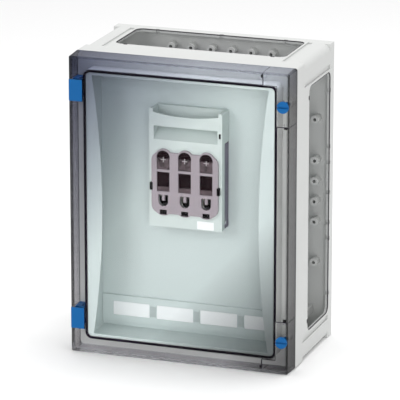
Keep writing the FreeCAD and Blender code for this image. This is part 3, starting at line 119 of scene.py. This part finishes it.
def makeBrushGroup():
    # drawn lines along one axis, for plated and drawn metal
    group, inlet, outlet = newGroup(
        "drawnLines",
        [("Across", "NodeSocketVector", (900.0, 900.0, 14.0))],
        [("Height", "NodeSocketFloat"), ("Tone", "NodeSocketFloat")])
    place = group.nodes.new("ShaderNodeTexCoord")
    stretch = addNode(group, "ShaderNodeVectorMath", operation="MULTIPLY")
    lines = addNode(group, "ShaderNodeTexNoise")
    lines.inputs["Scale"].default_value = 1
    lines.inputs["Detail"].default_value = brushValues["lineDetail"]
    cloud = addNode(group, "ShaderNodeTexNoise")
    cloud.inputs["Scale"].default_value = brushValues["cloudScale"]
    group.links.new(place.outputs["Object"], stretch.inputs[0])
    group.links.new(inlet.outputs["Across"], stretch.inputs[1])
    group.links.new(stretch.outputs["Vector"], lines.inputs["Vector"])
    group.links.new(place.outputs["Object"], cloud.inputs["Vector"])
    group.links.new(lines.outputs["Fac"], outlet.inputs["Height"])
    group.links.new(ramp(group, cloud.outputs["Fac"], *brushValues["cloudSpan"]),
                    outlet.inputs["Tone"])
    return group


grainGroup = makeGrainGroup()
brushGroup = makeBrushGroup()


def newMaterial(name):
    material = bpy.data.materials.new(name)
    material.use_nodes = True
    tree = material.node_tree
    return material, tree, tree.nodes["Principled BSDF"], tree.nodes["Material Output"]


def blendColour(tree, mask, first, second):
    mix = addNode(tree, "ShaderNodeMix", data_type="RGBA")
    mix.inputs["A"].default_value = (*first, 1)
    mix.inputs["B"].default_value = (*second, 1)
    tree.links.new(mask, mix.inputs["Factor"])
    return mix.outputs["Result"]


def blendValue(tree, mask, low, high):
    mix = addNode(tree, "ShaderNodeMapRange")
    mix.inputs["To Min"].default_value = low
    mix.inputs["To Max"].default_value = high
    tree.links.new(mask, mix.inputs["Value"])
    return mix.outputs["Result"]


def addBump(tree, shader, height, distance):
    bump = addNode(tree, "ShaderNodeBump")
    bump.inputs["Distance"].default_value = distance
    bump.inputs["Strength"].default_value = 1
    tree.links.new(height, bump.inputs["Height"])
    tree.links.new(bump.outputs["Normal"], shader.inputs["Normal"])


usualPlastic = {
    "shade": 0.95,          # how dark the drift of tone gets
    "polish": 0.85,         # how much smoother the rubbed places are
    "specular": 0.5, "coat": 0, "coatRoughness": 0.1,
    "grainSize": 900, "driftSize": 6, "grainDepth": 0.00003,
}


def makePlastic(name, changes):
    look = {**usualPlastic, **changes}
    material, tree, shader, _ = newMaterial(name)
    grain = addNode(tree, "ShaderNodeGroup", node_tree=grainGroup)
    grain.inputs["Grain Size"].default_value = look["grainSize"]
    grain.inputs["Drift Size"].default_value = look["driftSize"]
    colour = look["colour"]
    darker = tuple(channel * look["shade"] for channel in colour)
    tree.links.new(blendColour(tree, grain.outputs["Tone"], colour, darker),
                   shader.inputs["Base Color"])
    rough = look["roughness"]
    tree.links.new(blendValue(tree, grain.outputs["Rub"], rough, rough * look["polish"]),
                   shader.inputs["Roughness"])
    shader.inputs["Specular IOR Level"].default_value = look["specular"]
    shader.inputs["Coat Weight"].default_value = look["coat"]
    shader.inputs["Coat Roughness"].default_value = look["coatRoughness"]
    addBump(tree, shader, grain.outputs["Height"], look["grainDepth"])
    return material


usualMetal = {"shade": 0.8, "across": (900, 900, 14), "roughSpan": (0.8, 1.2),
              "lineDepth": 0.00001}


def makeMetal(name, changes):
    look = {**usualMetal, **changes}
    material, tree, shader, _ = newMaterial(name)
    brush = addNode(tree, "ShaderNodeGroup", node_tree=brushGroup)
    brush.inputs["Across"].default_value = look["across"]
    colour = look["colour"]
    darker = tuple(channel * look["shade"] for channel in colour)
    tree.links.new(blendColour(tree, brush.outputs["Tone"], colour, darker),
                   shader.inputs["Base Color"])
    smoother, rougher = (look["roughness"] * share for share in look["roughSpan"])
    tree.links.new(blendValue(tree, brush.outputs["Height"], smoother, rougher),
                   shader.inputs["Roughness"])
    shader.inputs["Metallic"].default_value = 1
    addBump(tree, shader, brush.outputs["Height"], look["lineDepth"])
    return material


def addMath(tree, operation, first, second):
    node = addNode(tree, "ShaderNodeMath", operation=operation)
    for socket, value in zip(node.inputs, (first, second)):
        if isinstance(value, (int, float)):
            socket.default_value = value
        else:
            tree.links.new(value, socket)
    return node.outputs["Value"]


def farFromMiddle(tree, position, middle, near, far):
    # 0 nearer than one distance from the middle, 1 past the other, along one axis
    away = addMath(tree, "ABSOLUTE", addMath(tree, "SUBTRACT", position, middle), 0)
    return ramp(tree, away, near, far)


def multiplied(tree, mask, colour, by):
    shade = addNode(tree, "ShaderNodeMix", data_type="RGBA", blend_type="MULTIPLY")
    shade.inputs["B"].default_value = (*by, 1)
    tree.links.new(mask, shade.inputs["Factor"])
    tree.links.new(colour, shade.inputs["A"])
    return shade.outputs["Result"]


def paintedShadeTint(tree, look):
    # painted shade on the lid: the pane's middle is clear, with a painted dark reflection at the
    # top left and painted shade in the lower right corner; its border has painted shade of the
    # channel behind it; the lid's walls are made darker
    place = addNode(tree, "ShaderNodeTexCoord")
    axes = addNode(tree, "ShaderNodeSeparateXYZ")
    tree.links.new(place.outputs["Object"], axes.inputs["Vector"])
    x, z = axes.outputs["X"], axes.outputs["Z"]
    # painted dark reflection on the pane's middle: darker towards the top left
    drop = addMath(tree, "MULTIPLY", addMath(tree, "SUBTRACT", look["top"], z), look["drop"])
    slope = addMath(tree, "ADD", x, drop)
    inside = blendColour(tree, ramp(tree, slope, *look["slope"]),
                         look["darkest"], look["clearest"])
    # painted shade towards the lower right corner
    lean = addMath(tree, "SUBTRACT", x, addMath(tree, "MULTIPLY", z, look["cornerLean"]))
    inside = multiplied(tree, ramp(tree, lean, *look["cornerFade"]), inside, look["corner"])

    # painted shade of the channel on the border: dark at the left, then darker at its foot and head
    along = addMath(tree, "ADD", x, addMath(tree, "MULTIPLY", drop, look["edgeDrop"]))
    edge = blendColour(tree, ramp(tree, along, *look["edgeX"]), look["edgeLeft"],
                       look["edgeRight"])
    edge = multiplied(tree, ramp(tree, z, *look["footZ"]), edge, look["foot"])
    edge = multiplied(tree, ramp(tree, lean, *look["footFade"]), edge, look["corner"])
    edge = multiplied(tree, ramp(tree, z, *look["headZ"]), edge, look["head"])
    border = addMath(tree, "MAXIMUM", farFromMiddle(tree, x, 0, *look["borderX"]),
                     farFromMiddle(tree, z, look["middleZ"], *look["borderZ"]))
    both = addNode(tree, "ShaderNodeMix", data_type="RGBA")
    tree.links.new(border, both.inputs["Factor"])
    tree.links.new(inside, both.inputs["A"])
    tree.links.new(edge, both.inputs["B"])

    # the lid's walls are made darker
    sideWall = farFromMiddle(tree, x, 0, *look["wallX"])
    endWall = farFromMiddle(tree, z, look["middleZ"], *look["wallZ"])
    walled = multiplied(tree, sideWall, both.outputs["Result"], look["sideWall"])
    return multiplied(tree, endWall, walled, look["endWall"])


def makeClear(name, look):
    # clear plastic: lamps reach what is behind it
    material, tree, shader, output = newMaterial(name)
    tree.links.new(paintedShadeTint(tree, look), shader.inputs["Base Color"])
    shader.inputs["Roughness"].default_value = look["roughness"]
    shader.inputs["IOR"].default_value = look["ior"]
    shader.inputs["Transmission Weight"].default_value = 1
    clear = addNode(tree, "ShaderNodeBsdfTransparent")
    clear.inputs["Color"].default_value = (*look["shadowTint"], 1)
    rays = addNode(tree, "ShaderNodeLightPath")
    mix = addNode(tree, "ShaderNodeMixShader")
    tree.links.new(rays.outputs["Is Shadow Ray"], mix.inputs[0])
    tree.links.new(shader.outputs[0], mix.inputs[1])
    tree.links.new(clear.outputs[0], mix.inputs[2])
    tree.links.new(mix.outputs[0], output.inputs["Surface"])
    return material


paneWithPaintedShade = {
    "roughness": 0.02, "ior": 1.14, "shadowTint": (0.94, 0.95, 0.95),
    # the pane's middle: a painted dark reflection, darkest at the top left, fading along x and down
    "darkest": (0.37, 0.375, 0.45), "clearest": (0.98, 0.985, 0.985),
    "top": 0.343, "drop": 0.8, "slope": (-0.115, 0.07),
    # painted shade in the lower right corner, for the middle and for the border
    "corner": (0.4, 0.395, 0.4), "cornerLean": 0.9,
    "cornerFade": (-0.06, 0.075), "footFade": (0.045, 0.14),
    # the border outside the gasket: painted shade of the channel behind it, dark at the left and
    # clear to the right and down, then darker at its foot and head
    "borderX": (0.1172, 0.1178), "borderZ": (0.1622, 0.1628), "middleZ": 0.18,
    "edgeLeft": (0.44, 0.45, 0.54), "edgeRight": (1, 1, 1), "edgeX": (-0.13, 0.02), "edgeDrop": 0.6,
    "foot": (0.92, 0.91, 0.92), "footZ": (0.045, 0.004),
    "head": (0.7, 0.72, 0.77), "headZ": (0.325, 0.345),
    # the lid's walls
    "sideWall": (0.21, 0.205, 0.21), "wallX": (0.1295, 0.1325),
    "endWall": (0.86, 0.86, 0.89), "wallZ": (0.1745, 0.1775),
}
finishes = {
    "case_grey": makePlastic("caseGrey", {
        "colour": (0.60, 0.61, 0.60), "shade": 0.96, "roughness": 0.42,
        "grainSize": 1400, "grainDepth": 0.00002}),
    "cover_grey": makePlastic("coverGrey", {
        "colour": (0.545, 0.615, 0.61), "shade": 0.97, "roughness": 0.4,
        "grainDepth": 0.00001}),
    "carrier_grey": makePlastic("carrierGrey", {
        "colour": (0.56, 0.625, 0.61), "shade": 0.97, "roughness": 0.36,
        "grainDepth": 0.00001}),
    "holder_plastic": makePlastic("holderPlastic", {
        "colour": (0.32, 0.32, 0.33), "roughness": 0.5}),
    "housing_dark": makePlastic("housingDark", {
        "colour": (0.15, 0.125, 0.185), "shade": 0.8, "roughness": 0.42}),
    "clip_black": makePlastic("clipBlack", {
        "colour": (0.004, 0.003, 0.004), "shade": 0.7, "roughness": 0.7, "specular": 0.08}),
    "edge_rubber": makePlastic("edgeRubber", {
        "colour": (0.03, 0.024, 0.034), "shade": 0.7, "roughness": 0.75, "grainSize": 500,
        "grainDepth": 0.00006}),
    "gasket_rubber": makePlastic("gasketRubber", {
        "colour": (0.012, 0.006, 0.02), "shade": 0.7, "roughness": 0.85, "specular": 0.2,
        "grainSize": 600, "grainDepth": 0.0001}),
    "blue_plastic": makePlastic("bluePlastic", {
        "colour": (0.0, 0.11, 0.34), "shade": 0.88, "roughness": 0.4, "specular": 0.2,
        "grainDepth": 0.00001}),
    "card_white": makePlastic("cardWhite", {
        "colour": (0.84, 0.86, 0.87), "shade": 0.98, "roughness": 0.7, "grainDepth": 0.00001}),
    "fuse_ceramic": makePlastic("fuseCeramic", {
        "colour": (0.72, 0.69, 0.62), "shade": 0.94, "roughness": 0.22, "coat": 0.5}),
    "window_smoke": makePlastic("windowSmoke", {
        "colour": (0.31, 0.268, 0.298), "shade": 0.92, "roughness": 0.26, "coat": 0.3,
        "grainDepth": 0.000005}),
    "lens_dark": makePlastic("lensDark", {
        "colour": (0.010, 0.003, 0.005), "shade": 0.6, "roughness": 0.6, "specular": 0.02,
        "driftSize": 60, "grainDepth": 0.000005}),
    "ledge_brown": makePlastic("ledgeBrown", {
        "colour": (0.10, 0.07, 0.08), "shade": 0.6, "roughness": 0.5, "specular": 0.2,
        "driftSize": 90}),
    "arch_brown": makePlastic("archBrown", {
        "colour": (0.115, 0.082, 0.094), "shade": 0.2, "roughness": 0.4, "specular": 0.2,
        "driftSize": 240}),
    "mark_pale": makePlastic("markPale", {
        "colour": (0.50, 0.46, 0.47), "roughness": 0.6}),
    "rib_grey": makePlastic("ribGrey", {
        "colour": (0.42, 0.47, 0.47), "roughness": 0.5}),
    "plate_steel": makeMetal("plateSteel", {
        "colour": (0.62, 0.63, 0.65), "roughness": 0.38}),
    "pin_steel": makeMetal("pinSteel", {
        "colour": (0.6, 0.6, 0.61), "roughness": 0.25}),
    "screw_steel": makeMetal("screwSteel", {
        "colour": (0.66, 0.66, 0.64), "roughness": 0.3, "across": (500, 500, 500)}),
    "bar_brass": makeMetal("barBrass", {
        "colour": (0.72, 0.53, 0.22), "roughness": 0.28, "across": (12, 900, 900)}),
    "contact_metal": makeMetal("contactMetal", {
        "colour": (0.78, 0.74, 0.68), "roughness": 0.27}),
    # the lid's tint carries painted shade and a painted dark reflection
    "lid_smoke": makeClear("lidSmoke", paneWithPaintedShade),
}
print("materials made:", len(finishes))


# pieces that keep the shape of a CAD node

meshCare = {
    "weld": 0.000002,       # m between points that become one
    "flat": 0.3,            # degrees between faces that become one
    "roundFrom": 35,        # degrees between faces whose edge is rounded
    "sharpFrom": 40,        # degrees between faces whose edge stays sharp
}


def weldedCopy(node):
    shape = bmesh.new()
    shape.from_mesh(frame["nodes"][node].data)
    bmesh.ops.remove_doubles(shape, verts=shape.verts, dist=meshCare["weld"])
    bmesh.ops.dissolve_limit(shape, angle_limit=radians(meshCare["flat"]), verts=shape.verts,
                             edges=shape.edges)
    return shape


def roundEdges(shape, width, segments):
    edges = [edge for edge in shape.edges if edge.is_manifold
             and edge.calc_face_angle(0) > radians(meshCare["roundFrom"])]
    bmesh.ops.bevel(shape, geom=edges, offset=width, segments=segments, profile=0.5,
                    affect="EDGES", clamp_overlap=True, material=-1)


def addPiece(name, shape, body, slot, stands=(), finish=None):
    mesh = bpy.data.meshes.new(name)
    shape.to_mesh(mesh)
    shape.free()
    piece = bpy.data.objects.new(name, mesh)
    bpy.context.scene.collection.objects.link(piece)
    mesh.materials.append(finishes[finish or slot])
    mesh.shade_smooth()
    mesh.set_sharp_from_angle(angle=radians(meshCare["sharpFrom"]))
    flat = piece.modifiers.new("flatFaces", "WEIGHTED_NORMAL")
    flat.keep_sharp = True
    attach(piece, body)
    if stands:
        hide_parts(*stands)
    return piece


shapedNodes = {
    # node: width of its rounded edges in mm, and how many steps they take
    "base_shell": (0.5, 2), "lid": (0.6, 3), "upper_lock_corner": (0.3, 2),
    "lower_lock_corner": (0.3, 2), "lid_gasket": (0.5, 2),
    "upper_hinge_block": (0.5, 3), "lower_hinge_block": (0.5, 3),
    "upper_lid_fastener": (0.35, 3), "lower_lid_fastener": (0.35, 3),
    "top_opening_seal": (0.4, 2), "bottom_opening_seal": (0.4, 2),
    "left_opening_seal": (0.4, 2), "right_opening_seal": (0.4, 2),
    "cover_frame": (0.5, 3), "cover_plate": (0.4, 2), "cover_screws": (0.25, 2),
    "label_strip": (0.25, 2), "label_cards": (0.1, 1),
    "fuse_carrier": (0.6, 3), "window_lenses": (0.2, 2),
    "window_clips": (0.4, 2), "rating_card": (0.1, 1),
    "switch_housing": (0.4, 2), "switch_spacers": (0.3, 2), "terminal_bolts": (0.4, 2),
    "upper_contacts": (0.3, 2), "lower_contacts": (0.3, 2),
    "left_fuse_body": (0.6, 3), "middle_fuse_body": (0.6, 3), "right_fuse_body": (0.6, 3),
    "left_fuse_blades": (0.4, 2), "middle_fuse_blades": (0.4, 2),
    "right_fuse_blades": (0.4, 2), "mounting_plate": (0.3, 2),
    "earth_bar": (0.4, 2), "neutral_bar": (0.4, 2), "bar_holders": (0.4, 2),
    "bar_screws": (0.2, 2),
}


def nameInCamel(node):
    first, *rest = node.split("_")
    return first + "".join(word.title() for word in rest)


for node, (width, steps) in shapedNodes.items():
    shape = weldedCopy(node)
    roundEdges(shape, width / 1000, steps)
    addPiece(nameInCamel(node), shape, bodyOfNode[node], slotOfNode[node], [node])
for node, part in frame["nodes"].items():
    if node not in shapedNodes:
        part.data.materials.clear()
        part.data.materials.append(finishes[slotOfNode[node]])
print("CAD pieces finished:", len(shapedNodes))


# small detail the CAD leaves out

def addBlock(shape, low, high):        # low and high are x, depth, z in mm
    corners = at(*low), at(*high)
    size = corners[1] - corners[0]
    bmesh.ops.create_cube(shape, size=1, matrix=Matrix.LocRotScale(
        (corners[0] + corners[1]) / 2, None, size))


switchFace = {
    "poleCentres": (-26.3, 0, 26.3), "lensFront": 22.7,
    # a brown ledge at the foot of each square lens
    "ledgeHalf": 7.5, "ledgeProud": 0.5, "ledgeLow": 20.9, "ledgeHigh": 26.2,
    # a mottled plate in each arched lens, with a pale cross on it
    "plateHalf": 7.5, "plateProud": 0.3, "plateLow": 47.3, "plateHigh": 60.5,
    "crossZ": 58.8, "crossArm": 3.1, "crossHalf": 0.33, "crossProud": 0.35,
    # painted shade: black blocks behind the test holes stand in for the shade in them, and black
    # plates sit in the slots under them
    "shadeHalf": 7.6, "shadeFront": 36.5, "shadeBack": 37.9, "shadeLow": 1.6, "shadeHigh": 17.8,
    "slotHalf": 4.25, "slotFront": 21.75, "slotBack": 22.05, "slotLow": -7.05,
    "slotHigh": -1.55,
    "lockSlot": ((40.6, 25.3, 88.6), (42.9, 26.9, 94.4)),
}

ledges = bmesh.new()
plates = bmesh.new()
crosses = bmesh.new()
shades = bmesh.new()
face = switchFace
for x in face["poleCentres"]:
    front = face["lensFront"]
    half = face["ledgeHalf"]
    addBlock(ledges, (x - half, front - face["ledgeProud"], face["ledgeLow"]),
             (x + half, front, face["ledgeHigh"]))
    half = face["plateHalf"]
    plateFront = front - face["plateProud"]
    addBlock(plates, (x - half, plateFront, face["plateLow"]),
             (x + half, front, face["plateHigh"]))
    arm, half = face["crossArm"], face["crossHalf"]
    crossFront = plateFront - face["crossProud"]
    addBlock(crosses, (x - arm, crossFront, face["crossZ"] - half),
             (x + arm, plateFront, face["crossZ"] + half))
    addBlock(crosses, (x - half, crossFront, face["crossZ"] - arm),
             (x + half, plateFront, face["crossZ"] + arm))
    for kind in ("shade", "slot"):
        half = face[kind + "Half"]
        addBlock(shades, (x - half, face[kind + "Front"], face[kind + "Low"]),
                 (x + half, face[kind + "Back"], face[kind + "High"]))
# painted shade: a black block stands in for the shade in the lock slot
addBlock(shades, *face["lockSlot"])
addPiece("darkBacks", shades, "carrier", "clip_black")
addPiece("lensLedges", ledges, "carrier", "lens_dark", finish="ledge_brown")
addPiece("archPlates", plates, "carrier", "lens_dark", finish="arch_brown")
addPiece("archCrosses", crosses, "carrier", "lens_dark", finish="mark_pale")

# painted shade: black strips in the joints of the lock corners stand in for the shade in the gaps,
# deep in the gap, and wider at the face
jointLines = {
    # the cross joint's x and z, the long joint's x and z, and the depth, each from and to
    "gap": ((101.64, 101.96), (163.3, 176.6), (118.4, 131.6), (116.04, 116.36), (0.3, 2.9)),
    "face": ((101.3, 102.15), (163.3, 178.6), (118.4, 133.6), (115.7, 116.55), (0.12, 0.4)),
}
joints = bmesh.new()
for crossX, crossZ, alongX, alongZ, depth in jointLines.values():
    for side in (1, -1):
        for xs, zs in ((crossX, crossZ), (alongX, alongZ)):
            low, high = sorted((side * zs[0], side * zs[1]))
            addBlock(joints, (xs[0], depth[0], low), (xs[1], depth[1], high))
addPiece("jointLines", joints, "lid", "gasket_rubber")

# fine ribs on the label strip between the cards
stripRibs = {
    "front": 48, "proud": 0.5, "pitch": 1.3, "thick": 0.55, "low": -143, "high": -129.5,
    "cards": 4, "cardPitch": 54.6, "cardWide": 45.5, "cardShift": 5.3, "margin": 1,
}
strip = stripRibs
ribs = bmesh.new()
bays = strip["cards"] - 1
firstCard = strip["cardShift"] - (bays * strip["cardPitch"] + strip["cardWide"]) / 2
ribWide = strip["cardPitch"] - strip["cardWide"] - 2 * strip["margin"]
for bay in range(bays):
    left = firstCard + bay * strip["cardPitch"] + strip["cardWide"] + strip["margin"]
    for step in range(int((strip["high"] - strip["low"]) / strip["pitch"])):
        z = strip["low"] + step * strip["pitch"]
        addBlock(ribs, (left, strip["front"] - strip["proud"], z),
                 (left + ribWide, strip["front"], z + strip["thick"]))
addPiece("stripRibs", ribs, "base", "cover_grey", finish="rib_grey")
print("small detail added")


# floor, light and camera

surroundings = {
    "floorSize": 12, "floorDrop": 0.0003, "floorRoughness": 0.9,
    "floorColour": (0.93, 0.93, 0.93),
    "worldColour": (1.0, 1.0, 1.0), "worldStrength": 0.74,
    "lamps": {
        # where it stands, what it points at, its size and its power
        "keyLamp": ((-1.4, -2.5, 1.5), (0, 0, 0.12), 1.3, 15),
        "topLamp": ((0.2, 0.3, 2.6), (0, 0, 0.2), 1.4, 36),
        "frontLamp": ((1.3, -2.8, 0.7), (0, 0, 0.14), 1.6, 19),
    },
}

floorShape = bmesh.new()
bmesh.ops.create_grid(floorShape, x_segments=1, y_segments=1,
                      size=surroundings["floorSize"] / 2)
bmesh.ops.translate(floorShape, verts=floorShape.verts, vec=(0, 0, -surroundings["floorDrop"]))
floorMesh = bpy.data.meshes.new("floor")
floorShape.to_mesh(floorMesh)
floorShape.free()
floor = bpy.data.objects.new("floor", floorMesh)
bpy.context.scene.collection.objects.link(floor)
floorFinish, _, floorShader, _ = newMaterial("floorPale")
floorShader.inputs["Base Color"].default_value = (*surroundings["floorColour"], 1)
floorShader.inputs["Roughness"].default_value = surroundings["floorRoughness"]
floorMesh.materials.append(floorFinish)

world = bpy.data.worlds.new("studio")
bpy.context.scene.world = world
world.use_nodes = True
backdrop = world.node_tree.nodes["Background"]
backdrop.inputs["Color"].default_value = (*surroundings["worldColour"], 1)
backdrop.inputs["Strength"].default_value = surroundings["worldStrength"]

for lampName, (place, target, size, power) in surroundings["lamps"].items():
    lampData = bpy.data.lights.new(lampName, "AREA")
    lampData.size = size
    lampData.energy = power
    lamp = bpy.data.objects.new(lampName, lampData)
    lamp.location = place
    lamp.rotation_euler = (Vector(target) - Vector(place)).to_track_quat("-Z", "Y").to_euler()
    bpy.context.scene.collection.objects.link(lamp)

cameraSettings = {"place": (1.33091, -3.74680, 1.33626), "target": (-0.00189, -0.00024, 0.17654),
                  "lens": 317.7, "sensor": 36, "farthest": 30}
cameraData = bpy.data.cameras.new("camera")
cameraData.lens = cameraSettings["lens"]
cameraData.sensor_width = cameraSettings["sensor"]
cameraData.clip_end = cameraSettings["farthest"]
camera = bpy.data.objects.new("camera", cameraData)
camera.location = cameraSettings["place"]
sight = Vector(cameraSettings["target"]) - Vector(cameraSettings["place"])
camera.rotation_euler = sight.to_track_quat("-Z", "Y").to_euler()
bpy.context.scene.collection.objects.link(camera)
bpy.context.scene.camera = camera
bpy.context.scene.view_settings.view_transform = "Standard"
print("studio set")
